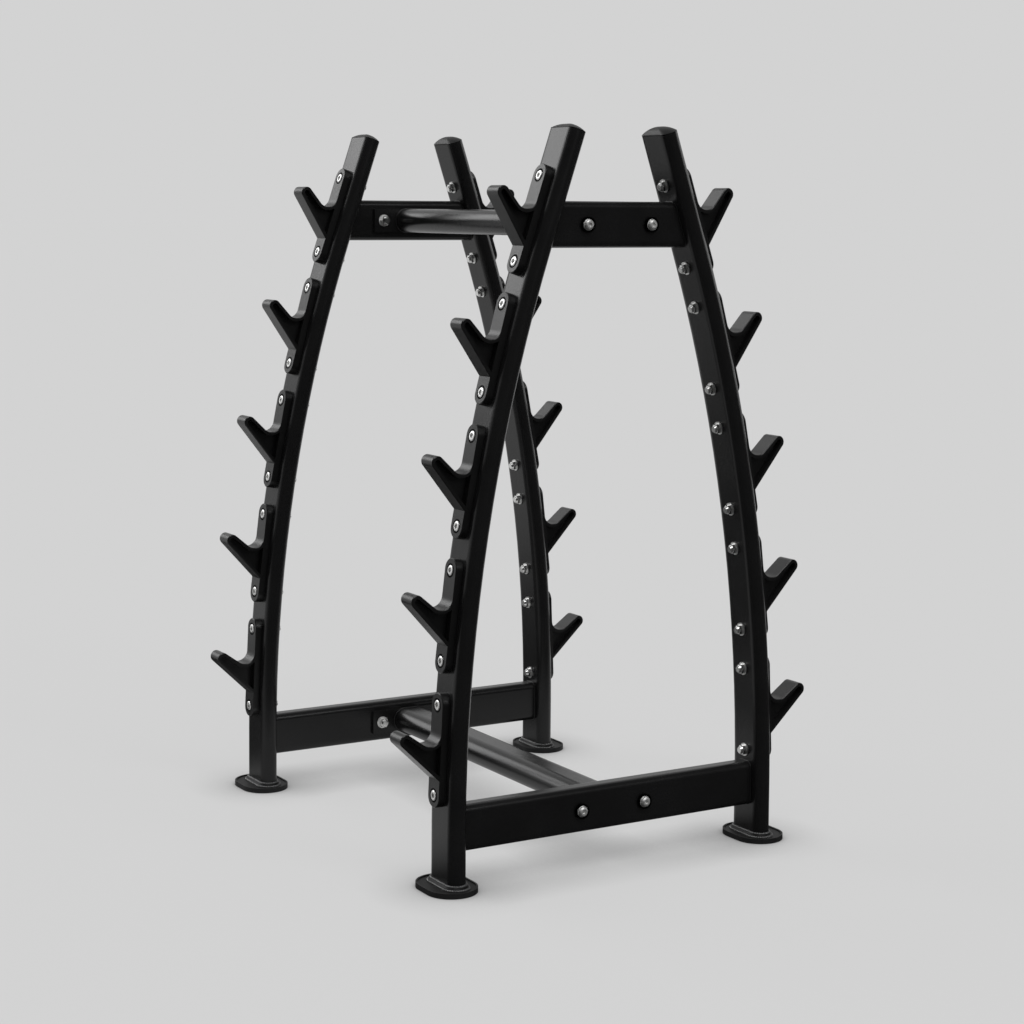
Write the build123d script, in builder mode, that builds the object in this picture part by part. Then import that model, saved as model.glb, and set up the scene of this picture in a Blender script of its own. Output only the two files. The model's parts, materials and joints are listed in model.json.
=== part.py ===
from build123d import *
import os
from math import cos, radians, sin, tan

os.makedirs("parts", exist_ok=True)

# A two-sided rack for fixed barbells: two end frames joined by two stretchers, five pairs of
# hooks on each side. X runs across an end frame, Y along the bars, Z up. The origin is on the
# floor, in the middle of the footprint. All sizes are in millimetres and degrees.

# End frames
frame_spacing = 900.0  # between the middle planes of the near and the far frame
base_width = 800.0  # across the outer flats of the two uprights at the floor
straight_foot = 131.0  # height of the upright's vertical lower run
bend_radius = 3670.0  # of the long bend, on the outer flat
lean = 18.6  # of the straight upper run
tube_above_hooks = 107.0  # from the highest hook bolt to the top end

# Flat-sided oval tube of the uprights
tube_depth = 100.0
tube_width = 40.0
tube_wall = 3.0

# Rounded tube of the crossmembers
cross_height = 95.0
cross_depth = 45.0
cross_corner = 14.0
cross_wall = 3.0
lower_cross_height = 123.0  # of its middle above the floor
upper_cross_offset = 5.0  # of its middle above the middle of the top hook's inner bolt ends

# Flat-sided oval tube of the stretchers, and the plates welded to their ends
stretcher_width = 90.0
stretcher_height = 56.0
stretcher_wall = 3.0
flange_end = 24.0  # beyond each bolt
flange_height = 56.0
flange_thickness = 8.0
flange_corner = 4.0
stretcher_bolt_spacing = 156.0

# Feet: a steel plate round the base of each upright, in a rubber tray
pad_length = 146.0
pad_width = 108.0
pad_floor = 4.0
pad_lip = 4.0
pad_height = 11.0
foot_plate_thickness = 5.0
foot_fit = 0.3  # between the plate and the tray's lip
foot_offset = 4.0  # of the plate outwards from the upright's middle
collar_wall = 6.5
collar_height = 8.0
collar_chamfer = 4.0
collar_fit = 0.3

# End caps
cap_height = 14.0
cap_dome = 9.0
cap_plug_depth = 18.0
cap_fit = 0.3  # between the plug and the tube's inside

# Hooks: u points outwards from the upright, v up along it, both from the middle of the
# line between the two bolts
hooks_per_upright = 5
hooks_above_cross = 24.5  # from the lower crossmember's top to the lowest bolt
hook_gap = 38.0  # between one plate and the next
hook_bolt_spacing = 182.0
hook_end = 25.0  # plate beyond each bolt
hook_width = 46.0
hook_plate = 16.0
tip_u = 95.0
tip_v = 28.0
tip_radius = 13.5
arm_upper_slope = 33.0
arm_under_slope = 41.0
saddle_radius = 24.0
hook_web = 14.0
hook_flange = 7.5
hook_edge = 1.5  # bevel along the outline

# Hook fasteners: button head outside, washer and cap nut on the inner flat
hook_bolt = 10.0
bolt_clearance = 0.5  # on the radius, in every hole
bolt_head_diameter = 19.0
bolt_head_height = 5.5
bolt_socket = 6.0
bolt_socket_depth = 3.0
bolt_head_gap = 1.5  # on the radius, between a head and its recess
bolt_recess_depth = 4.0
washer_diameter = 28.0
washer_thickness = 2.5
nut_flats = 19.0
nut_height = 8.0
nut_dome = 5.0
nut_crown_diameter = 13.0
nut_crown_base = 0.92  # of the nut's width across flats

bolt_end_gap = 1.0  # between a bolt's end and the bottom of its nut's bore
cut_margin = 1.0  # how far a cut starts and ends outside the material

seat_gap = 0.05  # under the washers, which lie on the bend's hollow side
thread_gap = 0.3  # on the radius, between a bolt and its nut or washer

# Stretcher fasteners: one size up, each head on a washer in a black cup
stretcher_bolt = 12.0
stretcher_head_diameter = 20.0
stretcher_head_height = 7.0
stretcher_socket = 8.0
head_washer_diameter = 24.0
cup_gap = 1.0  # on the radius, round the washer
cup_wall = 3.0
cup_height = 7.0
cup_floor = 3.0
stretcher_washer_diameter = 28.0
stretcher_nut_flats = 19.0
stretcher_nut_height = 10.0

# Values that follow from those above
frames = {"near": -1, "far": 1}
tube_start = pad_floor + foot_plate_thickness
middle_x = base_width / 2 - tube_width / 2
foot_x = middle_x + foot_offset
hook_length = hook_bolt_spacing + 2 * hook_end
first_hook_bolt = lower_cross_height + cross_height / 2 + hooks_above_cross
hook_arcs = [first_hook_bolt + (hook_length + hook_gap) * k for k in range(hooks_per_upright)]
bolt_arcs = [arc + step for arc in hook_arcs for step in (0, hook_bolt_spacing)]
upright_length = bolt_arcs[-1] + tube_above_hooks
bend_length = bend_radius * radians(lean)
top_run = upright_length - straight_foot - bend_length
cross_face = frame_spacing / 2 + cross_depth / 2
flange_face = frame_spacing / 2 - cross_depth / 2
flange_length = stretcher_bolt_spacing + 2 * flange_end
cup_bore = head_washer_diameter + 2 * cup_gap
cup_diameter = cup_bore + 2 * cup_wall


def write(piece, name, end=0, left=False):
    """Write a piece under its name, moved to an end frame and mirrored for the left side."""
    with BuildPart() as copy:
        with Locations((0, end * frame_spacing / 2, 0)):
            add(piece)
        if left:
            mirror(about=Plane.YZ, mode=Mode.REPLACE)
    copy.part.label = name
    export_step(copy.part, f"parts/{name}.step")


def on_upright(arc, inset=0.0):
    """Plane that faces outwards on the upright: arc runs up its outer flat, inset goes inwards."""
    turn = min(max((arc - straight_foot) / bend_radius, 0.0), radians(lean))
    beyond = max(arc - straight_foot - bend_length, 0.0)
    x = base_width / 2 - bend_radius * (1 - cos(turn)) - beyond * sin(turn)
    z = min(arc, straight_foot) + bend_radius * sin(turn) + beyond * cos(turn)
    point = (x - inset * cos(turn), 0, z - inset * sin(turn))
    return Plane(origin=point, x_dir=(0, 1, 0), z_dir=(cos(turn), 0, sin(turn)))


def inside_of(inset):
    """Face in the frame's plane: all that lies inwards of the upright's flat."""
    start = base_width / 2 - inset
    with BuildSketch() as region:
        with BuildLine():
            foot = Line((start, 0), (start, straight_foot))
            bow = JernArc(foot @ 1, foot % 1, bend_radius - inset, lean)
            head = Line(bow @ 1, bow @ 1 + (bow % 1) * upright_length)
            Polyline(head @ 1, (-base_width, (head @ 1).Y), (-base_width, 0), foot @ 0)
        make_face()
    return region.sketch


# The pieces of one upright are drawn for the right side, in the plane Y = 0.
# Upright: flat-sided oval tube, bent in one long arc, drilled for the hook bolts
with BuildPart() as upright:
    with BuildLine(Plane.XZ) as path:
        foot = Line((middle_x, tube_start), (middle_x, straight_foot))
        bow = JernArc(foot @ 1, foot % 1, bend_radius - tube_width / 2, lean)
        Line(bow @ 1, bow @ 1 + (bow % 1) * top_run)
    with BuildSketch(Plane(origin=path.line @ 0, x_dir=(0, 1, 0), z_dir=path.line % 0)):
        SlotOverall(tube_depth, tube_width)
        SlotOverall(tube_depth - 2 * tube_wall, tube_width - 2 * tube_wall, mode=Mode.SUBTRACT)
    sweep()
    with Locations(*[on_upright(arc) for arc in bolt_arcs]):
        Hole(hook_bolt / 2 + bolt_clearance, depth=tube_width + cut_margin)

# End cap: a domed top over a plug that fits inside the tube
along = Vector(-sin(radians(lean)), 0, cos(radians(lean)))
top = Plane(origin=on_upright(upright_length, tube_width / 2).origin, x_dir=(0, 1, 0), z_dir=along)
with BuildPart() as cap:
    with BuildSketch(top):
        SlotOverall(tube_depth, tube_width)
    extrude(amount=cap_height)
    fillet(cap.faces().sort_by(Axis(top.origin, along))[-1].edges(), cap_dome)
    with BuildSketch(top):
        inner = 2 * tube_wall + 2 * cap_fit
        SlotOverall(tube_depth - inner, tube_width - inner)
    extrude(amount=-cap_plug_depth)

# Foot plate with a collar round the upright
with BuildPart() as foot_plate:
    with BuildSketch(Plane.XY.offset(pad_floor)):
        with Locations((foot_x, 0)):
            rim = 2 * pad_lip + 2 * foot_fit
            SlotOverall(pad_length - rim, pad_width - rim, rotation=90)
    extrude(amount=foot_plate_thickness)
    with BuildSketch(Plane.XY.offset(tube_start)):
        with Locations((middle_x, 0)):
            SlotOverall(tube_depth + 2 * collar_wall, tube_width + 2 * collar_wall, rotation=90)
    extrude(amount=collar_height)
    chamfer(foot_plate.faces().sort_by(Axis.Z)[-1].edges(), collar_chamfer)
    with BuildSketch(Plane.XY.offset(tube_start)):
        with Locations((middle_x, 0)):
            SlotOverall(tube_depth + 2 * collar_fit, tube_width + 2 * collar_fit, rotation=90)
    extrude(amount=collar_height, mode=Mode.SUBTRACT)

# Rubber tray that the foot plate stands in
with BuildPart() as pad:
    with BuildSketch():
        with Locations((foot_x, 0)):
            SlotOverall(pad_length, pad_width, rotation=90)
    extrude(amount=pad_height)
    with BuildSketch(Plane.XY.offset(pad_floor)):
        with Locations((foot_x, 0)):
            SlotOverall(pad_length - 2 * pad_lip, pad_width - 2 * pad_lip, rotation=90)
    extrude(amount=pad_height, mode=Mode.SUBTRACT)


def hook_side(back):
    """Side view of a hook, with its plate running back behind the face of the upright."""
    under = radians(arm_under_slope)
    upper = radians(arm_upper_slope)
    low = (tip_u + tip_radius * sin(under), tip_v - tip_radius * cos(under))
    high = (tip_u - tip_radius * sin(upper), tip_v + tip_radius * cos(upper))
    root_low = (hook_plate, low[1] - (low[0] - hook_plate) * tan(under))
    root_high = (hook_plate, high[1] - (high[0] - hook_plate) * tan(upper))
    with BuildSketch() as view:
        with BuildLine():
            Line(root_low, low)
            ThreePointArc(low, (tip_u + tip_radius, tip_v), high)
            Polyline(high, root_high, root_low)
        make_face()
        with Locations(((hook_plate - back) / 2, 0)):
            Rectangle(hook_plate + back, hook_length)
        fillet(view.vertices().sort_by_distance((*root_high, 0))[0], saddle_radius)
    return view.sketch


def build_hook(arc):
    """Hook whose lower bolt is at arc: a plate with rounded ends that follows the bend, and an
    arm whose sides are pocketed down to a thin web."""
    low = on_upright(arc)
    high = on_upright(arc + hook_bolt_spacing)
    along = (high.origin - low.origin).normalized()
    outward = Vector(along.Z, 0, -along.X)
    middle = (low.origin + high.origin) / 2
    view = Plane(origin=middle, x_dir=outward, z_dir=outward.cross(along))
    with BuildPart() as hook:
        with BuildSketch(view):
            add(hook_side(tube_width / 4))
        extrude(amount=hook_width / 2, both=True)
        with BuildSketch(Plane(origin=middle, x_dir=along, z_dir=outward).offset(-tube_width)):
            SlotOverall(hook_length, hook_width)
        extrude(amount=tube_width + tip_u + 2 * tip_radius, mode=Mode.INTERSECT)
        rim = hook.edges() - hook.edges().filter_by(Axis.Y)
        rim -= hook.edges().filter_by(Axis(middle, outward))
        rim -= hook.faces().sort_by(Axis(middle, outward))[0].edges()
        chamfer(rim, hook_edge)
        for face in (1, -1):
            with BuildSketch(view.offset(face * hook_web / 2)):
                add(hook_side(tube_width))
                offset(amount=-hook_flange)
                with Locations((hook_plate - tube_width, 0)):
                    Rectangle(2 * tube_width, 2 * hook_length, mode=Mode.SUBTRACT)
            extrude(amount=face * hook_width, mode=Mode.SUBTRACT)
        with BuildSketch(Plane.XZ):
            add(inside_of(0))
        extrude(amount=hook_width, both=True, mode=Mode.SUBTRACT)
        start = hook_plate + cut_margin
        with Locations(low.offset(start), high.offset(start)):
            CounterBoreHole(
                hook_bolt / 2 + bolt_clearance,
                bolt_head_diameter / 2 + bolt_head_gap,
                bolt_recess_depth + cut_margin,
                depth=start + cut_margin,
            )
    return hook.part


upright_pieces = {
    "upright": upright.part,
    "end_cap": cap.part,
    "foot_plate": foot_plate.part,
    "foot_pad": pad.part,
}
for number, arc in enumerate(hook_arcs, 1):
    upright_pieces[f"hook_{number}"] = build_hook(arc)
for frame, end in frames.items():
    for name, piece in upright_pieces.items():
        write(piece, f"{frame}_left_{name}", end, left=True)
        write(piece, f"{frame}_right_{name}", end)

# Crossmembers: rounded tube, coped to the uprights' inner flats, drilled for the stretcher
# bolts. The upper one lies between the top hook's nuts.
top_hook_middle = on_upright(hook_arcs[-1] + hook_bolt_spacing / 2, tube_width).origin.Z
crosses = {"lower": lower_cross_height, "upper": top_hook_middle + upper_cross_offset}
for name, height in crosses.items():
    with BuildPart() as crossmember:
        with BuildSketch(Plane.YZ):
            with Locations((0, height)):
                RectangleRounded(cross_depth, cross_height, cross_corner)
                RectangleRounded(
                    cross_depth - 2 * cross_wall,
                    cross_height - 2 * cross_wall,
                    cross_corner - cross_wall,
                    mode=Mode.SUBTRACT,
                )
        extrude(amount=base_width / 2, both=True)
        with BuildSketch(Plane.XZ):
            add(inside_of(tube_width))
            mirror(inside_of(tube_width), about=Plane.YZ, mode=Mode.INTERSECT)
        extrude(amount=cross_depth, both=True, mode=Mode.INTERSECT)
        with BuildSketch(Plane.XZ):
            with Locations((0, height)):
                with GridLocations(stretcher_bolt_spacing, 0, 2, 1):
                    Circle(stretcher_bolt / 2 + bolt_clearance)
        extrude(amount=cross_depth, both=True, mode=Mode.SUBTRACT)
    for frame, end in frames.items():
        write(crossmember.part, f"{frame}_{name}_crossmember", end)

# Plates at the stretchers' ends, against the crossmembers' inner faces
for frame, end in frames.items():
    for name, height in crosses.items():
        face_plane = Plane(origin=(0, end * flange_face, height), x_dir=(1, 0, 0), z_dir=(0, -end, 0))
        with BuildPart() as flange:
            with BuildSketch(face_plane):
                RectangleRounded(flange_length, flange_height, flange_corner)
                with GridLocations(stretcher_bolt_spacing, 0, 2, 1):
                    Circle(stretcher_bolt / 2 + bolt_clearance, mode=Mode.SUBTRACT)
            extrude(amount=flange_thickness)
        write(flange.part, f"{frame}_{name}_stretcher_flange")

# Stretchers: flat-sided oval tube laid flat, between the two flanges
for name, height in crosses.items():
    with BuildPart() as stretcher:
        with BuildSketch(Plane.XZ):
            with Locations((0, height)):
                SlotOverall(stretcher_width, stretcher_height)
                SlotOverall(
                    stretcher_width - 2 * stretcher_wall,
                    stretcher_height - 2 * stretcher_wall,
                    mode=Mode.SUBTRACT,
                )
        extrude(amount=flange_face - flange_thickness, both=True)
    write(stretcher.part, f"{name}_stretcher")


# Fasteners, each drawn once along Z with its seat at the origin
def build_screw(diameter, head_diameter, head_height, socket, length):
    """Button-head socket screw, pointing down."""
    with BuildPart() as screw:
        Cylinder(head_diameter / 2, head_height, align=(Align.CENTER, Align.CENTER, Align.MIN))
        chamfer(screw.faces().sort_by(Axis.Z)[-1].edges(), head_height * 0.4)
        with BuildSketch(Plane.XY.offset(head_height)):
            RegularPolygon(socket / 2, 6, major_radius=False)
        extrude(amount=-bolt_socket_depth, mode=Mode.SUBTRACT)
        Cylinder(diameter / 2, length, align=(Align.CENTER, Align.CENTER, Align.MAX))
    return screw.part


def build_washer(diameter, bore):
    """Plain washer, standing up from its seat."""
    with BuildPart() as washer:
        with BuildSketch():
            Circle(diameter / 2)
            Circle(bore / 2, mode=Mode.SUBTRACT)
        extrude(amount=washer_thickness)
    return washer.part


def build_cap_nut(flats, height, diameter):
    """Cap nut with a blind bore, standing up from its seat."""
    with BuildPart() as nut:
        with BuildSketch():
            RegularPolygon(flats / 2, 6, major_radius=False)
        extrude(amount=height)
        with BuildSketch(Plane.XY.offset(height)):
            Circle(nut_crown_base * flats / 2)
        with BuildSketch(Plane.XY.offset(height + nut_dome)):
            Circle(nut_crown_diameter / 2)
        loft()
        with BuildSketch():
            Circle(diameter / 2 + thread_gap)
        extrude(amount=height, mode=Mode.SUBTRACT)
    return nut.part


def flipped(plane):
    """The same plane, facing the other way."""
    return Plane(origin=plane.origin, x_dir=plane.x_dir, z_dir=-plane.z_dir)


def on_both_sides(piece, seats):
    """A frame's group of one fastener: on the right upright's seats and mirrored on the left."""
    with BuildPart() as group:
        with Locations(*seats):
            add(piece)
        mirror(about=Plane.YZ)
    return group.part


# Hook fasteners, ten to an upright
outer = [on_upright(arc) for arc in bolt_arcs]
inner = [flipped(on_upright(arc, tube_width)) for arc in bolt_arcs]
hook_seat = hook_plate - bolt_recess_depth
hook_screw = build_screw(
    hook_bolt,
    bolt_head_diameter,
    bolt_head_height,
    bolt_socket,
    hook_seat + tube_width + seat_gap + washer_thickness + nut_height - bolt_end_gap,
)
hook_fasteners = {
    "hook_bolts": (hook_screw, [seat.offset(hook_seat) for seat in outer]),
    "hook_washers": (
        build_washer(washer_diameter, hook_bolt + 2 * thread_gap),
        [seat.offset(seat_gap) for seat in inner],
    ),
    "hook_cap_nuts": (
        build_cap_nut(nut_flats, nut_height, hook_bolt),
        [seat.offset(seat_gap + washer_thickness) for seat in inner],
    ),
}
for name, (piece, seats) in hook_fasteners.items():
    group = on_both_sides(piece, seats)
    for frame, end in frames.items():
        write(group, f"{frame}_{name}", end)

# Stretcher fasteners, two at each end of each stretcher
corners = [(end, height) for end in frames.values() for height in crosses.values()]
half_spacing = stretcher_bolt_spacing / 2
outer = [
    Plane(origin=(half_spacing, end * cross_face, height), x_dir=(1, 0, 0), z_dir=(0, end, 0))
    for end, height in corners
]
grip = cross_depth + flange_thickness
inner = [flipped(seat.offset(-grip)) for seat in outer]
stretcher_screw = build_screw(
    stretcher_bolt,
    stretcher_head_diameter,
    stretcher_head_height,
    stretcher_socket,
    cup_floor + grip + 2 * washer_thickness + stretcher_nut_height - bolt_end_gap,
)
with BuildPart() as cup:
    Cylinder(cup_diameter / 2, cup_height, align=(Align.CENTER, Align.CENTER, Align.MIN))
    with Locations((0, 0, cup_height)):
        CounterBoreHole(
            stretcher_bolt / 2 + bolt_clearance, cup_bore / 2, cup_height - cup_floor, depth=cup_height
        )
head_washer = build_washer(head_washer_diameter, stretcher_bolt + 2 * thread_gap)
nut_washer = build_washer(stretcher_washer_diameter, stretcher_bolt + 2 * thread_gap)
stretcher_nut = build_cap_nut(stretcher_nut_flats, stretcher_nut_height, stretcher_bolt)
cup_seats = [seat.offset(cup_floor) for seat in outer]
with BuildPart() as washers:
    add(on_both_sides(head_washer, cup_seats))
    add(on_both_sides(nut_washer, inner))
write(on_both_sides(cup.part, outer), "stretcher_bolt_cups")
write(washers.part, "stretcher_washers")
write(
    on_both_sides(stretcher_screw, [seat.offset(washer_thickness) for seat in cup_seats]),
    "stretcher_bolts",
)
write(
    on_both_sides(stretcher_nut, [seat.offset(washer_thickness) for seat in inner]),
    "stretcher_cap_nuts",
)
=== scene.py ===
"""Looks for a two-sided rack for fixed barbells: satin black tube frames, moulded hooks and
bright bolts, on a pale studio floor. Everything is in metres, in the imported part's frame."""

import json
import math

import bmesh
import bpy
from mathutils import Matrix, Vector


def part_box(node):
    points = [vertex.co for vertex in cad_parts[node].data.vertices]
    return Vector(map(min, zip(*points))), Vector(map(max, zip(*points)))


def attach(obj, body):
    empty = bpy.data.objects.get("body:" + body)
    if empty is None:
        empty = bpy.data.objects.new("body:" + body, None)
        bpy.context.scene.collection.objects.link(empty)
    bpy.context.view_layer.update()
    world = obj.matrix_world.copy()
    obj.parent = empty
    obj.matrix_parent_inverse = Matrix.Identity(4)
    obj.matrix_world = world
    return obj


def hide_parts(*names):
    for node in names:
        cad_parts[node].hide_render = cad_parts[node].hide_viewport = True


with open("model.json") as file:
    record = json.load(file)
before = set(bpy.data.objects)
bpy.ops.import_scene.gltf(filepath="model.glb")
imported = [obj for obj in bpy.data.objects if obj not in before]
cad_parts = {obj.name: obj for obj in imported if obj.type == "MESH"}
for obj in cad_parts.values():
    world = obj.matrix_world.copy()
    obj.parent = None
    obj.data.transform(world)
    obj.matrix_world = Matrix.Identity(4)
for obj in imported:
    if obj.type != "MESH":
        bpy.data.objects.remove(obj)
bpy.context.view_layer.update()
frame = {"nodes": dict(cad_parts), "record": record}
nodes = frame["nodes"]

MM = 0.001

# Sizes of the part that the new pieces follow
BASE_WIDTH = 800 * MM
FRAME_SPACING = 900 * MM
STRAIGHT_FOOT = 131 * MM
BEND_RADIUS = 3670 * MM
LEAN = math.radians(18.6)
UPRIGHT_LENGTH = 1564 * MM
TUBE_DEPTH = 100 * MM
TUBE_WIDTH = 40 * MM
TUBE_START = 9 * MM
TUBE_WALL = 3 * MM
CAP_HEIGHT = 14 * MM
CAP_PLUG = 18 * MM
COLLAR_WALL = 6.5 * MM
COLLAR_HEIGHT = 8 * MM
CROSS_CORNER = 14 * MM
STRETCHER_HALF_HEIGHT = 28 * MM
STRETCHER_CORNER = STRETCHER_HALF_HEIGHT - 0.1 * MM
HOOK_PLATE = 16 * MM
HOOK_BOLT_SPACING = 182 * MM
HOOK_PITCH = 270 * MM
FIRST_HOOK_BOLT = 195 * MM
HOOKS_PER_UPRIGHT = 5
RECESS_DEPTH = 4 * MM
RECESS_RADIUS = 11 * MM
FRAMES = {"near": -1, "far": 1}
SIDES = {"left": -1, "right": 1}

# The caps in the uprights' top ends
CAP_STEP = 2.5 * MM  # between points round the cap
CAP_GROOVE = 1.0 * MM  # between the tube's end and the cap's rim
CAP_RIM = 1.6 * MM
CAP_EDGE = 0.2 * MM  # break of the rim's lower edge
PLUG_CLEARANCE = 0.3 * MM
PLUG_CHAMFER = 1.0 * MM
CROWN_RINGS = 12
CROWN_STEPS = 12.6  # from the rim to the middle, where the last, shorter step is flat
CROWN_CURVE = 2.2  # 2 is a parabola, and more is flatter on top
CAP_SHARP = math.radians(40)

# The hooks' bolts, and the rings of painted shade round the recesses that they lie in
HEAD_RADIUS = 10.8 * MM
HEAD_HEIGHT = 5.4 * MM
HEAD_ROUNDING = (  # in from the head's radius and down from its top, from the rim inwards
    (0.0, 2.4 * MM),
    (0.35 * MM, 1.5 * MM),
    (1.2 * MM, 0.7 * MM),
    (2.6 * MM, 0.2 * MM),
)
HEAD_LIFT = 0.05 * MM  # keeps the head off the recess's floor
SOCKET_FLATS = 10.0 * MM
SOCKET_DEPTH = 3.4 * MM
SOCKET_LAND = 1.3 * MM
SOCKET_EDGE = ((0.5 * MM, 0.05 * MM), (0.0, 0.4 * MM))  # over the flats and down from the top
SOCKET_CONE_RADIUS = 1.5 * MM
SOCKET_CONE_DEPTH = 0.8 * MM
SHANK_RADIUS = 5 * MM
SHANK_LENGTH = 61 * MM
SHANK_CHAMFER = 1.0 * MM
# The thin, nearly black ring round each hook bolt's recess is painted shade: it stands for the shade in the
# gap round the head
SHADE_RING_RADIUS = 14.8 * MM
SHADE_RING_PROUD = 0.35 * MM
SHADE_RING_SECTION = (  # radius and height of the rim's corners, from the recess outwards
    (RECESS_RADIUS - 0.1 * MM, -0.6 * MM),
    (RECESS_RADIUS + 0.1 * MM, SHADE_RING_PROUD * 0.4),
    (SHADE_RING_RADIUS - 1.0 * MM, SHADE_RING_PROUD),
    (SHADE_RING_RADIUS, -0.2 * MM),
)
RING_POINTS = 36  # round each turned shape
TURNED_SHARP = math.radians(35)

# The weld beads
CROSS_BEAD = 1.0 * MM
STRETCHER_BEAD = 1.2 * MM
FOOT_BEAD = 2.8 * MM
FOOT_BEADS = (  # name, distance out from the tube, height and radius
    ("base", COLLAR_WALL, TUBE_START + 0.6 * MM, FOOT_BEAD),
    ("collar", 1.2 * MM, TUBE_START + COLLAR_HEIGHT - 0.4 * MM, FOOT_BEAD * 0.85),
)
BEAD_RIPPLE = 0.2  # share of the bead's radius
RIPPLE_PITCH = 4.4 * MM
BEAD_STEP = RIPPLE_PITCH / 5
BEAD_SIDES = 8

# The finishes
GRAIN_SHARE = 0.45  # of the fine grain in a surface's gloss and tone, the rest being slow drift
COOL_TINT = 1.03  # blue over red and green in the blacks
COAT_RELIEF = 0.25 * MM
METAL_RELIEF = 0.1 * MM
METAL_BUMP = 0.12
METAL_GRAIN = 2500.0
METAL_DRIFT = 260.0
METAL_DARK = (0.75, 0.75, 0.74)  # red, green and blue as shares of a metal's tone
METAL_LIGHT = (1.0, 1.0, 0.99)
DUST_COLOUR = (0.16, 0.155, 0.15, 1)

# The studio
BACKGROUND = 0.651  # its pale grey, as light
AMBIENT = 0.5
FLOOR_HALF = 150.0
FLOOR_COLOUR = 0.12
CONTACT_REACH = 0.16
CONTACT_SAMPLES = 8
CONTACT_DEPTH = 1.4
CONTACT_MIDDLE_DEPTH = 0.7  # below the stretchers, so that the shade stays even along each frame
CONTACT_MIDDLE_REACH = 0.3
OPEN_SIDE = (0.0, -1.0, 0.0)
OPEN_SPREAD = (-0.5, 0.0)  # how far towards the open side the dark begins and is full
DARK_SIDE = 0.08
FLOOR_OPENS = 0.4  # how far before the middle the floor falls dark in reflections
BEHIND_LEFT = (-2.2, -1.3)  # edges of the dim patch of floor behind the rack
BEHIND_RIGHT = (0.1, 0.6)
BEHIND_FRONT = (0.35, 0.8)
BEHIND_BACK = (1.7, 2.3)
DARK_BEHIND = 0.1
SOFTBOXES = (  # name, azimuth (0 from -Y, 90 from -X), elevation, irradiance, apparent size in degrees
    ("back_left_softbox", 149, 29, 0.95, 36),
    ("top_softbox", 15, 66, 1.1, 36),
    ("front_fill", -15, 32, 0.55, 22),
    ("right_fill", -88, 8, 0.3, 30),
)

# The camera, fitted to the photograph
CAMERA_PLACE = Vector((-2.4853, -4.2022, 1.3708))
CAMERA_YAW = 0.5393  # from +Y towards +X
CAMERA_PITCH = 0.0789  # downwards
CAMERA_ROLL = 0.0077
FOCAL_PIXELS = 2181.2  # at the photograph's width
PHOTO_WIDTH = 1024
SENSOR = 36.0
SHIFT = -0.13
CLIP_END = 500.0


def node_group(name, inputs, outputs):
    """Shader group with named sockets, and its two ends: inputs hold (name, kind, default)."""
    group = bpy.data.node_groups.new(name, "ShaderNodeTree")
    for label, kind, default in inputs:
        socket = group.interface.new_socket(label, in_out="INPUT", socket_type=f"NodeSocket{kind}")
        socket.default_value = default
    for label, kind in outputs:
        group.interface.new_socket(label, in_out="OUTPUT", socket_type=f"NodeSocket{kind}")
    given = group.nodes.new("NodeGroupInput").outputs
    result = group.nodes.new("NodeGroupOutput").inputs
    return group, given, result


def place_group(tree, group, **values):
    """Instance of a group with its inputs set; underscores stand for spaces in their names."""
    node = tree.nodes.new("ShaderNodeGroup")
    node.node_tree = group
    for name, value in values.items():
        node.inputs[name.replace("_", " ")].default_value = value
    return node


def feed(tree, value, socket):
    """Gives a socket its value: another socket's output or a number."""
    if hasattr(value, "links"):
        tree.links.new(value, socket)
    else:
        socket.default_value = value


def maths(tree, operation, first, second=0.0):
    """Math node on two sockets or numbers."""
    node = tree.nodes.new("ShaderNodeMath")
    node.operation = operation
    feed(tree, first, node.inputs[0])
    feed(tree, second, node.inputs[1])
    return node.outputs[0]


def times(tree, *factors):
    """Product of sockets or numbers."""
    product = factors[0]
    for factor in factors[1:]:
        product = maths(tree, "MULTIPLY", product, factor)
    return product


def rest_of(tree, share):
    """What a share leaves of 1."""
    return maths(tree, "SUBTRACT", 1.0, share)


def noise(tree, coordinates, scale, detail, roughness=0.5):
    """Noise from 0 to 1 on the given coordinates."""
    node = tree.nodes.new("ShaderNodeTexNoise")
    node.inputs["Detail"].default_value = detail
    node.inputs["Roughness"].default_value = roughness
    tree.links.new(coordinates, node.inputs["Vector"])
    feed(tree, scale, node.inputs["Scale"])
    return node.outputs["Fac"]


def remap(tree, value, low, high):
    """A value from 0 to 1 spread over low to high, each a socket or a number."""
    node = tree.nodes.new("ShaderNodeMapRange")
    tree.links.new(value, node.inputs["Value"])
    feed(tree, low, node.inputs["To Min"])
    feed(tree, high, node.inputs["To Max"])
    return node.outputs["Result"]


def stepped(tree, value, low, high):
    """Smooth step from 0 at the low value to 1 at the high one."""
    node = tree.nodes.new("ShaderNodeMapRange")
    node.interpolation_type = "SMOOTHSTEP"
    node.inputs["From Min"].default_value = low
    node.inputs["From Max"].default_value = high
    tree.links.new(value, node.inputs["Value"])
    return node.outputs["Result"]


def blended(tree, share, first, second):
    """Colour between two colours, by a share."""
    mix = tree.nodes.new("ShaderNodeMix")
    mix.data_type = "RGBA"
    tree.links.new(share, mix.inputs["Factor"])
    feed(tree, first, mix.inputs["A"])
    feed(tree, second, mix.inputs["B"])
    return mix.outputs["Result"]


def split_place(tree, vector):
    """The X, Y and Z of a vector."""
    split = tree.nodes.new("ShaderNodeSeparateXYZ")
    tree.links.new(vector, split.inputs[0])
    return split.outputs


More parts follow.
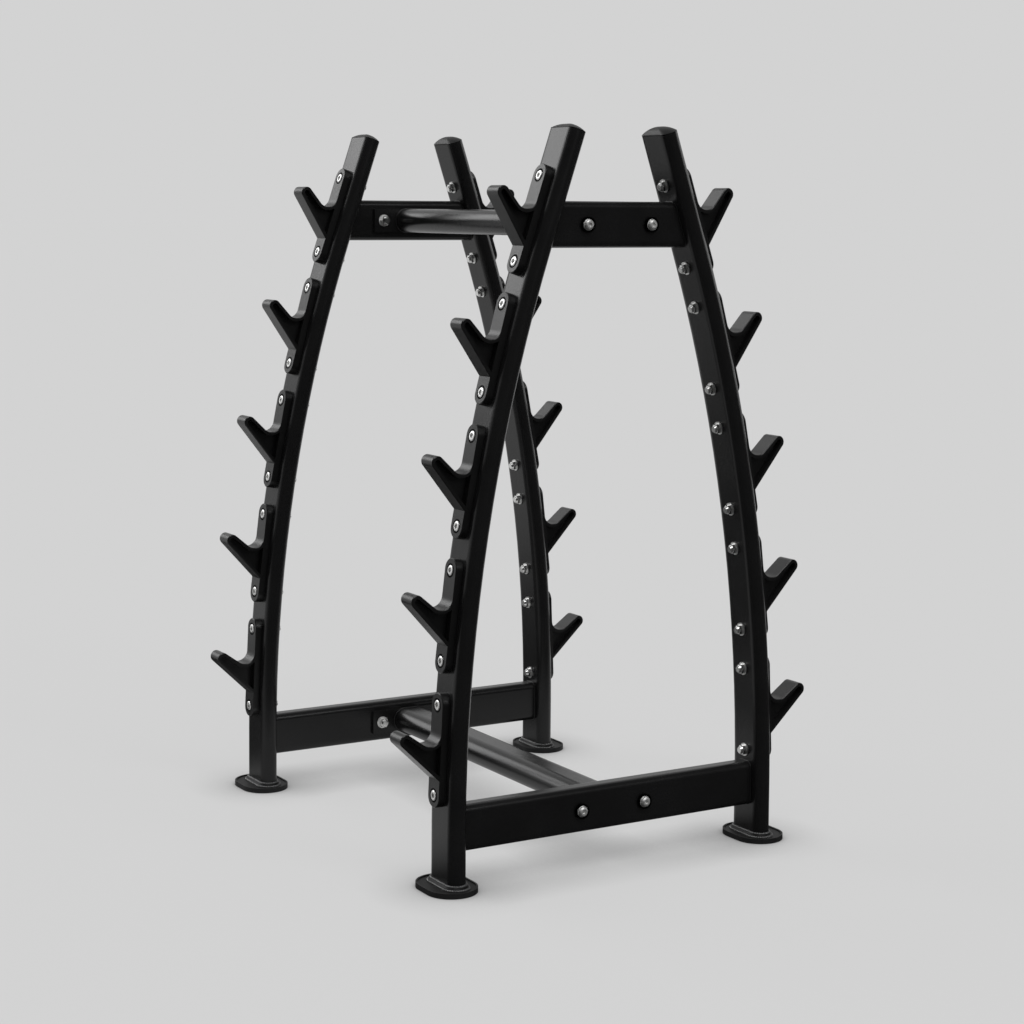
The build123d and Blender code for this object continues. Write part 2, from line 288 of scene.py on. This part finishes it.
def build_surface_grain():
    """Fine grain of a coated or moulded surface, with slow drift of its gloss and tone."""
    group, given, result = node_group(
        "surface_grain",
        [
            ("Grain Per Metre", "Float", 1500.0),
            ("Drift Per Metre", "Float", 12.0),
            ("Low Roughness", "Float", 0.3),
            ("High Roughness", "Float", 0.45),
            ("Dark Tone", "Color", (0.01, 0.01, 0.01, 1)),
            ("Light Tone", "Color", (0.02, 0.02, 0.02, 1)),
        ],
        [("Height", "Float"), ("Roughness", "Float"), ("Tone", "Color")],
    )
    place = group.nodes.new("ShaderNodeTexCoord").outputs["Object"]
    grain = noise(group, place, given["Grain Per Metre"], detail=3.0)
    drift = noise(group, place, given["Drift Per Metre"], detail=4.0)
    blend = maths(group, "ADD", times(group, grain, GRAIN_SHARE), times(group, drift, 1 - GRAIN_SHARE))
    gloss = remap(group, blend, given["Low Roughness"], given["High Roughness"])
    tone = blended(group, blend, given["Dark Tone"], given["Light Tone"])
    group.links.new(grain, result["Height"])
    group.links.new(gloss, result["Roughness"])
    group.links.new(tone, result["Tone"])
    return group


def build_dust():
    """Mask of the fine dust that lies on faces turned upwards."""
    group, given, result = node_group(
        "upward_dust",
        [("Amount", "Float", 0.1), ("Patch Per Metre", "Float", 30.0)],
        [("Mask", "Float")],
    )
    normal = split_place(group, group.nodes.new("ShaderNodeNewGeometry").outputs["Normal"])
    upward = maths(group, "MAXIMUM", normal["Z"], 0.0)
    place = group.nodes.new("ShaderNodeTexCoord").outputs["Object"]
    patches = noise(group, place, given["Patch Per Metre"], detail=5.0, roughness=0.7)
    mask = times(group, maths(group, "POWER", upward, 2.0), patches, given["Amount"])
    group.links.new(mask, result["Mask"])
    return group


def build_open_side():
    """Mask of what lies towards the studio's dark, open side, seen from the rack."""
    group, given, result = node_group(
        "open_side", [("Direction", "Vector", (0.0, 0.0, 0.0))], [("Mask", "Float")]
    )
    unit = group.nodes.new("ShaderNodeVectorMath")
    unit.operation = "NORMALIZE"
    group.links.new(given["Direction"], unit.inputs[0])
    along = group.nodes.new("ShaderNodeVectorMath")
    along.operation = "DOT_PRODUCT"
    group.links.new(unit.outputs[0], along.inputs[0])
    along.inputs[1].default_value = OPEN_SIDE
    group.links.new(stepped(group, along.outputs["Value"], *OPEN_SPREAD), result["Mask"])
    return group


def grained_material(name, dark, light, gloss, bump, relief, **grain):
    """Material whose gloss and relief follow its grain, with its shader and its tone."""
    material = bpy.data.materials.new(name)
    material.use_nodes = True
    tree = material.node_tree
    shader = tree.nodes["Principled BSDF"]
    low, high = gloss
    surface = place_group(
        tree, SURFACE_GRAIN, Low_Roughness=low, High_Roughness=high, Dark_Tone=dark, Light_Tone=light, **grain
    )
    tree.links.new(surface.outputs["Roughness"], shader.inputs["Roughness"])
    height = tree.nodes.new("ShaderNodeBump")
    height.inputs["Strength"].default_value = bump
    height.inputs["Distance"].default_value = relief
    tree.links.new(surface.outputs["Height"], height.inputs["Height"])
    tree.links.new(height.outputs["Normal"], shader.inputs["Normal"])
    return material, shader, surface.outputs["Tone"]


def dark_finish(name, tones, gloss, grain, bump, specular, dust):
    """Black coated or moulded surface: grain, drifting gloss and a trace of dust."""
    dark, light = ((tone, tone, tone * COOL_TINT, 1) for tone in tones)
    material, shader, tone = grained_material(
        name, dark, light, gloss, bump, COAT_RELIEF, Grain_Per_Metre=grain
    )
    tree = material.node_tree
    film = place_group(tree, DUST, Amount=dust).outputs["Mask"]
    tree.links.new(blended(tree, film, tone, DUST_COLOUR), shader.inputs["Base Color"])
    shader.inputs["Specular IOR Level"].default_value = specular
    return material


def bright_metal(name, tone, gloss):
    """Plated steel of the fasteners, with fine marks that break up its shine."""
    dark, light = ([tone * share for share in shares] + [1] for shares in (METAL_DARK, METAL_LIGHT))
    material, shader, colour = grained_material(
        name,
        dark,
        light,
        gloss,
        METAL_BUMP,
        METAL_RELIEF,
        Grain_Per_Metre=METAL_GRAIN,
        Drift_Per_Metre=METAL_DRIFT,
    )
    material.node_tree.links.new(colour, shader.inputs["Base Color"])
    shader.inputs["Metallic"].default_value = 1.0
    return material


SURFACE_GRAIN = build_surface_grain()
DUST = build_dust()
OPEN = build_open_side()

# Each finish by the part's own slot: tones, gloss as a span of roughness, grains per metre
FINISHES = {
    "frame_steel": dark_finish("satin_black_coat", (0.002, 0.0085), (0.2, 0.32), 900.0, 0.2, 0.32, 0.04),
    "hook": dark_finish("moulded_hook", (0.001, 0.006), (0.24, 0.42), 1300.0, 0.5, 0.42, 0.05),
    "end_cap": dark_finish("cap_plastic", (0.002, 0.005), (0.34, 0.46), 1500.0, 0.2, 0.22, 0.04),
    "foot_rubber": dark_finish("foot_rubber", (0.005, 0.014), (0.5, 0.7), 700.0, 0.4, 0.2, 0.1),
    "bolt_cup": dark_finish("cup_plastic", (0.0004, 0.001), (0.5, 0.7), 1500.0, 0.15, 0.02, 0.0),
    "bolt": bright_metal("plated_bolt", 0.9, (0.34, 0.5)),
    "washer": bright_metal("plated_washer", 0.8, (0.3, 0.44)),
    "cap_nut": bright_metal("plated_nut", 0.88, (0.16, 0.3)),
}
WELD = dark_finish("coated_weld", (0.003, 0.008), (0.26, 0.4), 420.0, 0.5, 0.4, 0.05)
# The foot welds are real beads with real gloss and ripples, but their grey tone, lighter than the black coat,
# is a painted highlight for their glints
FOOT_WELD_PAINTED_GLINT = dark_finish("foot_weld_painted_glint", (0.01, 0.06), (0.2, 0.36), 420.0, 1.0, 1.0, 0.0)
FOOT_COAT = dark_finish("foot_plate_coat", (0.002, 0.007), (0.4, 0.55), 900.0, 0.2, 0.12, 0.04)
# Nearly black, dull finish of the rings that paint the shade round the hook bolts' recesses
RECESS_SHADE_RING = dark_finish("painted_recess_shade", (0.0005, 0.0015), (0.6, 0.8), 1300.0, 0.2, 0.05, 0.0)
FRAME_BOLT = bright_metal("blasted_bolt", 0.95, (0.5, 0.66))


def finish_part():
    """Gives each piece of the part the finish of its slot, or its own."""
    slots = {part["node"]: part["material_slot"] for part in frame["record"]["subparts"]}
    for name, node in nodes.items():
        finish = FINISHES[slots[name]]
        if name.endswith("foot_plate"):
            finish = FOOT_COAT
        elif name in ("stretcher_bolts", "stretcher_washers"):
            finish = FRAME_BOLT
        node.data.materials.clear()
        node.data.materials.append(finish)


def on_upright(arc, inset, end, side):
    """Point on an upright and its outward direction: arc runs up the outer flat from the floor."""
    bend = BEND_RADIUS * LEAN
    turn = min(max((arc - STRAIGHT_FOOT) / BEND_RADIUS, 0.0), LEAN)
    beyond = max(arc - STRAIGHT_FOOT - bend, 0.0)
    x = BASE_WIDTH / 2 - BEND_RADIUS * (1 - math.cos(turn)) - beyond * math.sin(turn)
    z = min(arc, STRAIGHT_FOOT) + BEND_RADIUS * math.sin(turn) + beyond * math.cos(turn)
    sign = SIDES[side]
    outward = Vector((sign * math.cos(turn), 0, math.sin(turn)))
    place = Vector((sign * x, FRAMES[end] * FRAME_SPACING / 2, z))
    return place - outward * inset, outward


def flat_at(z, inset):
    """Distance of the upright's flat from the middle plane, at height z, inset from the outer flat."""
    radius = BEND_RADIUS - inset
    centre = BASE_WIDTH / 2 - BEND_RADIUS
    rise = max(z - STRAIGHT_FOOT, 0.0)
    if rise <= radius * math.sin(LEAN):
        return centre + math.sqrt(radius**2 - rise**2)
    beyond = rise - radius * math.sin(LEAN)
    return centre + radius * math.cos(LEAN) - beyond * math.tan(LEAN)


def standing(place, upward):
    """Matrix that stands a piece at a place, with its Z upward and its X along the bars."""
    along_bars = Vector((0, 1, 0))
    across = upward.cross(along_bars)
    turn = Matrix((along_bars, -across, upward)).transposed().to_4x4()
    return Matrix.Translation(place) @ turn


def even_loop(points, step):
    """The same closed outline with its long sides divided into steps."""
    even = []
    for (x0, y0), (x1, y1) in zip(points, points[1:] + points[:1]):
        count = max(1, round(math.dist((x0, y0), (x1, y1)) / step))
        even += [(x0 + (x1 - x0) * k / count, y0 + (y1 - y0) * k / count) for k in range(count)]
    return even


def slot_outline(length, width, step):
    """Points round a flat-sided oval, in even steps."""
    radius = width / 2
    half = (length - width) / 2
    count = max(6, round(math.pi * radius / step))
    points = []
    for end in (1, -1):
        for k in range(count + 1):
            angle = -end * math.pi / 2 + math.pi * k / count
            points.append((end * half + radius * math.cos(angle), radius * math.sin(angle)))
    return even_loop(points, step)


def rounded_rectangle(half_width, half_height, corner, step):
    """Points round a rounded rectangle, in even steps."""
    count = max(3, round(corner * math.pi / 2 / step))
    points = []
    for quarter in range(4):
        side_x = half_width - corner if quarter in (0, 3) else corner - half_width
        side_y = half_height - corner if quarter in (0, 1) else corner - half_height
        for k in range(count + 1):
            angle = math.pi / 2 * (quarter + k / count)
            points.append((side_x + corner * math.cos(angle), side_y + corner * math.sin(angle)))
    return even_loop(points, step)


def turned_ring(radius, height):
    """Ring of a turned shape."""
    angles = [2 * math.pi * k / RING_POINTS for k in range(RING_POINTS)]
    return [(radius * math.cos(angle), radius * math.sin(angle), height) for angle in angles]


def hexagon_ring(flats, height):
    """Ring of a hexagonal hole, with as many points as the turned rings round it."""
    ring = []
    for k in range(RING_POINTS):
        angle = 2 * math.pi * k / RING_POINTS
        radius = flats / 2 / math.cos((angle % (math.pi / 3)) - math.pi / 6)
        ring.append((radius * math.cos(angle), radius * math.sin(angle), height))
    return ring


def ring_loops(mesh, rings, place):
    """Vertices of each ring, placed by the matrix."""
    return [[mesh.verts.new(place @ Vector(point)) for point in ring] for ring in rings]


def skinned(mesh, loops):
    """Smooth faces from each loop of vertices to the next."""
    for first, second in zip(loops, loops[1:]):
        for k in range(len(first)):
            after = (k + 1) % len(first)
            mesh.faces.new((first[k], first[after], second[after], second[k])).smooth = True


def lofted(mesh, rings, place):
    """Closed surface through rings of points, with a point at each end; the matrix places it."""
    loops = ring_loops(mesh, rings, place)
    skinned(mesh, loops)
    for ring, loop in ((rings[0], loops[0]), (rings[-1], loops[-1])):
        middle = sum((Vector(point) for point in ring), Vector()) / len(ring)
        tip = mesh.verts.new(place @ middle)
        for k in range(len(loop)):
            mesh.faces.new((loop[k], loop[(k + 1) % len(loop)], tip)).smooth = True


def finished(mesh, name, material, sharp=None):
    """Object from a mesh, with its finish, riding on the rack."""
    bmesh.ops.remove_doubles(mesh, verts=mesh.verts, dist=1e-7)
    bmesh.ops.recalc_face_normals(mesh, faces=mesh.faces)
    if sharp:
        for edge in mesh.edges:
            if len(edge.link_faces) == 2 and edge.calc_face_angle() > sharp:
                edge.smooth = False
    piece = linked_object(mesh, name, material)
    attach(piece, "root")
    return piece


def linked_object(mesh, name, material):
    """Object in the scene from a mesh that is used up."""
    data = bpy.data.meshes.new(name)
    mesh.to_mesh(data)
    mesh.free()
    data.materials.append(material)
    piece = bpy.data.objects.new(name, data)
    bpy.context.scene.collection.objects.link(piece)
    return piece


def cap_ring(outline, inset, height):
    """Ring of the cap's outline, inset all round."""
    share_x = (TUBE_DEPTH - 2 * inset) / TUBE_DEPTH
    share_y = (TUBE_WIDTH - 2 * inset) / TUBE_WIDTH
    return [(x * share_x, y * share_y, height) for x, y in outline]


def crowned_cap(end, side):
    """Cap in the top of an upright: a lens-shaped crown on a rim, over a plug in the tube."""
    place, outward = on_upright(UPRIGHT_LENGTH, TUBE_WIDTH / 2, end, side)
    along = Vector((-outward.z * SIDES[side], 0, abs(outward.x)))
    outline = slot_outline(TUBE_DEPTH, TUBE_WIDTH, CAP_STEP)
    plug = TUBE_WALL + PLUG_CLEARANCE
    profile = (
        (plug + PLUG_CHAMFER, -CAP_PLUG),
        (plug, PLUG_CHAMFER - CAP_PLUG),
        (plug, 0.0),
        (CAP_GROOVE, 0.0),
        (CAP_GROOVE, CAP_GROOVE),
        (CAP_EDGE, CAP_GROOVE),
        (0.0, CAP_GROOVE + CAP_EDGE),
        (0.0, CAP_RIM),
    )
    rings = [cap_ring(outline, inset, height) for inset, height in profile]
    for k in range(CROWN_RINGS):
        share = 1 - (k + 1) / CROWN_STEPS
        height = CAP_RIM + (CAP_HEIGHT - CAP_RIM) * (1 - share**CROWN_CURVE)
        rings.append([(x * share, y * share, height) for x, y in outline])
    mesh = bmesh.new()
    lofted(mesh, rings, standing(place, along))
    cap = finished(mesh, f"{end}_{side}_crowned_cap", FINISHES["end_cap"], CAP_SHARP)
    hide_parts(f"{end}_{side}_end_cap")


def hook_bolt_places(end):
    """Where each hook bolt goes through the outer flat, its direction and its hook's own."""
    for side in SIDES:
        for k in range(HOOKS_PER_UPRIGHT):
            arc = FIRST_HOOK_BOLT + HOOK_PITCH * k
            low = on_upright(arc, 0.0, end, side)
            high = on_upright(arc + HOOK_BOLT_SPACING, 0.0, end, side)
            along = (high[0] - low[0]).normalized()
            square = Vector((along.z, 0, -along.x))
            square *= math.copysign(1, square.dot(low[1]))
            for place, outward in (low, high):
                yield place, outward, square


def hook_bolts(end):
    """Button heads with a hexagonal socket, on their shanks, in the hooks' recesses."""
    top = HEAD_HEIGHT
    rings = [
        turned_ring(SHANK_RADIUS - SHANK_CHAMFER, -SHANK_LENGTH),
        turned_ring(SHANK_RADIUS, SHANK_CHAMFER - SHANK_LENGTH),
        turned_ring(SHANK_RADIUS, 0.0),
        turned_ring(HEAD_RADIUS, 0.0),
    ]
    rings += [turned_ring(HEAD_RADIUS - inset, top - drop) for inset, drop in HEAD_ROUNDING]
    rings.append(turned_ring(SOCKET_FLATS / 2 + SOCKET_LAND, top))
    rings += [hexagon_ring(SOCKET_FLATS + wider, top - drop) for wider, drop in SOCKET_EDGE]
    rings.append(hexagon_ring(SOCKET_FLATS, top - SOCKET_DEPTH))
    rings.append(turned_ring(SOCKET_CONE_RADIUS, top - SOCKET_DEPTH - SOCKET_CONE_DEPTH))
    mesh = bmesh.new()
    for place, outward, _ in hook_bolt_places(end):
        seat = place + outward * (HOOK_PLATE - RECESS_DEPTH + HEAD_LIFT)
        lofted(mesh, rings, standing(seat, outward))
    bolts = finished(mesh, f"{end}_hook_button_bolts", FINISHES["bolt"], TURNED_SHARP)
    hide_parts(f"{end}_hook_bolts")


def hook_bolt_shade_rings(end):
    """Ring of painted shade round each recess, where the moulded plate is countersunk for the bolt."""
    rings = [turned_ring(radius, height) for radius, height in SHADE_RING_SECTION]
    mesh = bmesh.new()
    for place, _, square in hook_bolt_places(end):
        loops = ring_loops(mesh, rings, standing(place + square * HOOK_PLATE, square))
        skinned(mesh, loops + loops[:1])
    finished(mesh, f"{end}_hook_bolt_shade_rings", RECESS_SHADE_RING, TURNED_SHARP)


def bead_rings(path, radius):
    """Rings of points round a closed path, swelling and shrinking with the ripples of a weld."""
    count = len(path)
    angles = [2 * math.pi * s / BEAD_SIDES for s in range(BEAD_SIDES)]
    length = 0.0
    side = None
    rings = []
    for k, point in enumerate(path):
        along = (path[(k + 1) % count] - path[k - 1]).normalized()
        side = side or along.orthogonal()
        side = (side - along * side.dot(along)).normalized()
        other = along.cross(side)
        ripple = abs(math.sin(math.pi * length / RIPPLE_PITCH)) - 0.5
        size = radius * (1 + 2 * BEAD_RIPPLE * ripple)
        rings.append([point + (side * math.cos(a) + other * math.sin(a)) * size for a in angles])
        length += (path[(k + 1) % count] - point).length
    return rings


def weld_bead(name, path, radius, material):
    """Bead of weld along a closed path. Its last ring is turned to meet the first."""
    mesh = bmesh.new()
    loops = ring_loops(mesh, bead_rings(path, radius), Matrix())
    first, last = loops[0], loops[-1]
    turn = min(range(BEAD_SIDES), key=lambda s: (first[s].co - last[0].co).length)
    skinned(mesh, loops)
    skinned(mesh, [last, first[turn:] + first[:turn]])
    finished(mesh, name, material)


def weld_crossmembers():
    """Beads where the crossmembers' coped ends meet the uprights."""
    for end in FRAMES:
        for level in ("lower", "upper"):
            low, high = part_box(f"{end}_{level}_crossmember")
            middle = (low + high) / 2
            half = (high - low) / 2
            outline = rounded_rectangle(half.y, half.z, CROSS_CORNER, BEAD_STEP)
            for side, sign in SIDES.items():
                path = [
                    Vector((sign * flat_at(middle.z + z, TUBE_WIDTH), middle.y + y, middle.z + z))
                    for y, z in outline
                ]
                weld_bead(f"{end}_{level}_{side}_weld", path, CROSS_BEAD, WELD)


def weld_stretchers():
    """Beads round the stretchers' ends on their flanges."""
    for level in ("lower", "upper"):
        low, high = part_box(f"{level}_stretcher")
        middle = (low + high) / 2
        half = (high - low) / 2
        outline = rounded_rectangle(half.x, half.z, STRETCHER_CORNER, BEAD_STEP)
        for end, y in (("near", low.y), ("far", high.y)):
            path = [Vector((middle.x + x, y, middle.z + z)) for x, z in outline]
            weld_bead(f"{end}_{level}_stretcher_weld", path, STRETCHER_BEAD, WELD)


def weld_feet():
    """Beads round each upright's base: one on the foot plate and one on top of the collar, with a lighter
    tone that paints their glints.
    """
    middle_x = (BASE_WIDTH - TUBE_WIDTH) / 2
    for end, end_sign in FRAMES.items():
        for side, sign in SIDES.items():
            for row, out, z, radius in FOOT_BEADS:
                outline = slot_outline(TUBE_DEPTH + 2 * out, TUBE_WIDTH + 2 * out, BEAD_STEP)
                path = [
                    Vector((sign * middle_x + y, end_sign * FRAME_SPACING / 2 + x, z)) for x, y in outline
                ]
                weld_bead(f"{end}_{side}_{row}_weld", path, radius, FOOT_WELD_PAINTED_GLINT)


def shown_share(tree, coordinates, kept=1.0):
    """How much of the pale backdrop a ray meets: all for the camera, none for lighting rays,
    and for reflections the kept share of all but the dark side of the studio."""
    path = tree.nodes.new("ShaderNodeLightPath").outputs
    side = place_group(tree, OPEN)
    tree.links.new(coordinates, side.inputs["Direction"])
    closed = rest_of(tree, times(tree, side.outputs["Mask"], 1.0 - DARK_SIDE))
    mirrored = times(tree, path["Is Glossy Ray"], closed, kept)
    seen = maths(tree, "MAXIMUM", path["Is Camera Ray"], mirrored)
    return maths(tree, "MAXIMUM", seen, path["Is Transmission Ray"])


def pale_world():
    """Studio surround: one plain grey to the eye, and a dimmer, even light on the rack."""
    world = bpy.data.worlds.new("studio")
    bpy.context.scene.world = world
    world.use_nodes = True
    tree = world.node_tree
    path = tree.nodes.new("ShaderNodeLightPath").outputs
    ambient = tree.nodes["Background"]
    ambient.inputs["Color"].default_value = (AMBIENT, AMBIENT, AMBIENT, 1)
    shown = tree.nodes.new("ShaderNodeBackground")
    place = tree.nodes.new("ShaderNodeTexCoord").outputs["Generated"]
    tree.links.new(times(tree, shown_share(tree, place), BACKGROUND), shown.inputs["Color"])
    direct = maths(tree, "MAXIMUM", path["Is Camera Ray"], path["Is Glossy Ray"])
    direct = maths(tree, "MAXIMUM", direct, path["Is Transmission Ray"])
    mix = tree.nodes.new("ShaderNodeMixShader")
    tree.links.new(direct, mix.inputs[0])
    tree.links.new(ambient.outputs[0], mix.inputs[1])
    tree.links.new(shown.outputs[0], mix.inputs[2])
    tree.links.new(mix.outputs[0], tree.nodes["World Output"].inputs["Surface"])


def share_behind(tree, place):
    """Share of the floor that reflections keep: less on the patch behind the rack."""
    patch = times(
        tree,
        stepped(tree, place["X"], *BEHIND_LEFT),
        stepped(tree, place["Y"], *BEHIND_FRONT),
        rest_of(tree, stepped(tree, place["X"], *BEHIND_RIGHT)),
        rest_of(tree, stepped(tree, place["Y"], *BEHIND_BACK)),
    )
    return rest_of(tree, times(tree, patch, 1.0 - DARK_BEHIND))


def contact_shade(tree, place):
    """Shade of the floor close to the rack, weaker below the stretchers."""
    nearby = tree.nodes.new("ShaderNodeAmbientOcclusion")
    nearby.samples = CONTACT_SAMPLES
    nearby.inputs["Distance"].default_value = CONTACT_REACH
    aside = maths(tree, "DIVIDE", maths(tree, "ABSOLUTE", place["X"]), CONTACT_MIDDLE_REACH)
    depth = remap(tree, aside, CONTACT_MIDDLE_DEPTH, CONTACT_DEPTH)
    return maths(tree, "POWER", nearby.outputs["AO"], depth)


def floor_finish(lit):
    """Floor that melts into the surround and keeps the rack's shadow: part of what it shows is
    its own matt colour under the lamps, and the rest is a glow that is dimmed close to the rack."""
    material = bpy.data.materials.new("studio_floor")
    material.use_nodes = True
    tree = material.node_tree
    tree.nodes.remove(tree.nodes["Principled BSDF"])
    ground = tree.nodes.new("ShaderNodeTexCoord").outputs["Object"]
    place = split_place(tree, ground)
    from_opening = tree.nodes.new("ShaderNodeVectorMath")
    from_opening.inputs[1].default_value = (0.0, FLOOR_OPENS, 0.0)
    tree.links.new(ground, from_opening.inputs[0])
    seen = shown_share(tree, from_opening.outputs[0], share_behind(tree, place))
    path = tree.nodes.new("ShaderNodeLightPath").outputs
    bounce = times(tree, path["Is Diffuse Ray"], BACKGROUND)
    matt = tree.nodes.new("ShaderNodeBsdfDiffuse")
    tree.links.new(maths(tree, "MAXIMUM", bounce, times(tree, seen, FLOOR_COLOUR)), matt.inputs["Color"])
    glow = tree.nodes.new("ShaderNodeEmission")
    rest = BACKGROUND - FLOOR_COLOUR * lit
    tree.links.new(times(tree, seen, contact_shade(tree, place), rest), glow.inputs["Color"])
    both = tree.nodes.new("ShaderNodeAddShader")
    tree.links.new(matt.outputs[0], both.inputs[0])
    tree.links.new(glow.outputs[0], both.inputs[1])
    tree.links.new(both.outputs[0], tree.nodes["Material Output"].inputs["Surface"])
    return material


def pale_floor(lit):
    """Wide plain floor under the rack."""
    mesh = bmesh.new()
    bmesh.ops.create_grid(mesh, x_segments=4, y_segments=4, size=FLOOR_HALF)
    floor = linked_object(mesh, "floor", floor_finish(lit))


def softbox(name, azimuth, elevation, irradiance, spread):
    """Distant soft light. It returns how brightly it lights a white floor."""
    turn = math.radians(azimuth)
    rise = math.radians(elevation)
    lamp = bpy.data.lights.new(name, "SUN")
    lamp.energy = irradiance
    lamp.angle = math.radians(spread)
    source = Vector((-math.sin(turn) * math.cos(rise), -math.cos(turn) * math.cos(rise), math.sin(rise)))
    light = bpy.data.objects.new(name, lamp)
    light.rotation_mode = "QUATERNION"
    light.rotation_quaternion = source.to_track_quat("Z", "Y")
    bpy.context.scene.collection.objects.link(light)
    return irradiance * math.sin(rise) / math.pi


def photo_camera():
    """Camera at the photograph's viewing angle."""
    camera = bpy.data.cameras.new("camera")
    camera.sensor_width = SENSOR
    camera.lens = FOCAL_PIXELS / PHOTO_WIDTH * SENSOR
    camera.shift_y = SHIFT
    camera.clip_end = CLIP_END
    forward = Vector(
        (
            math.sin(CAMERA_YAW) * math.cos(CAMERA_PITCH),
            math.cos(CAMERA_YAW) * math.cos(CAMERA_PITCH),
            -math.sin(CAMERA_PITCH),
        )
    )
    right = Vector((math.cos(CAMERA_YAW), -math.sin(CAMERA_YAW), 0.0))
    up = right.cross(forward)
    rolled_right = right * math.cos(CAMERA_ROLL) + up * math.sin(CAMERA_ROLL)
    rolled_up = up * math.cos(CAMERA_ROLL) - right * math.sin(CAMERA_ROLL)
    turn = Matrix((rolled_right, rolled_up, -forward)).transposed().to_4x4()
    view = bpy.data.objects.new("camera", camera)
    view.matrix_world = Matrix.Translation(CAMERA_PLACE) @ turn
    bpy.context.scene.collection.objects.link(view)
    bpy.context.scene.camera = view


finish_part()
weld_crossmembers()
weld_stretchers()
weld_feet()
for end in FRAMES:
    hook_bolts(end)
    hook_bolt_shade_rings(end)
    for side in SIDES:
        crowned_cap(end, side)

pale_world()
lit = AMBIENT
for settings in SOFTBOXES:
    lit += softbox(*settings)
pale_floor(lit)
photo_camera()
bpy.context.scene.view_settings.view_transform = "Standard"
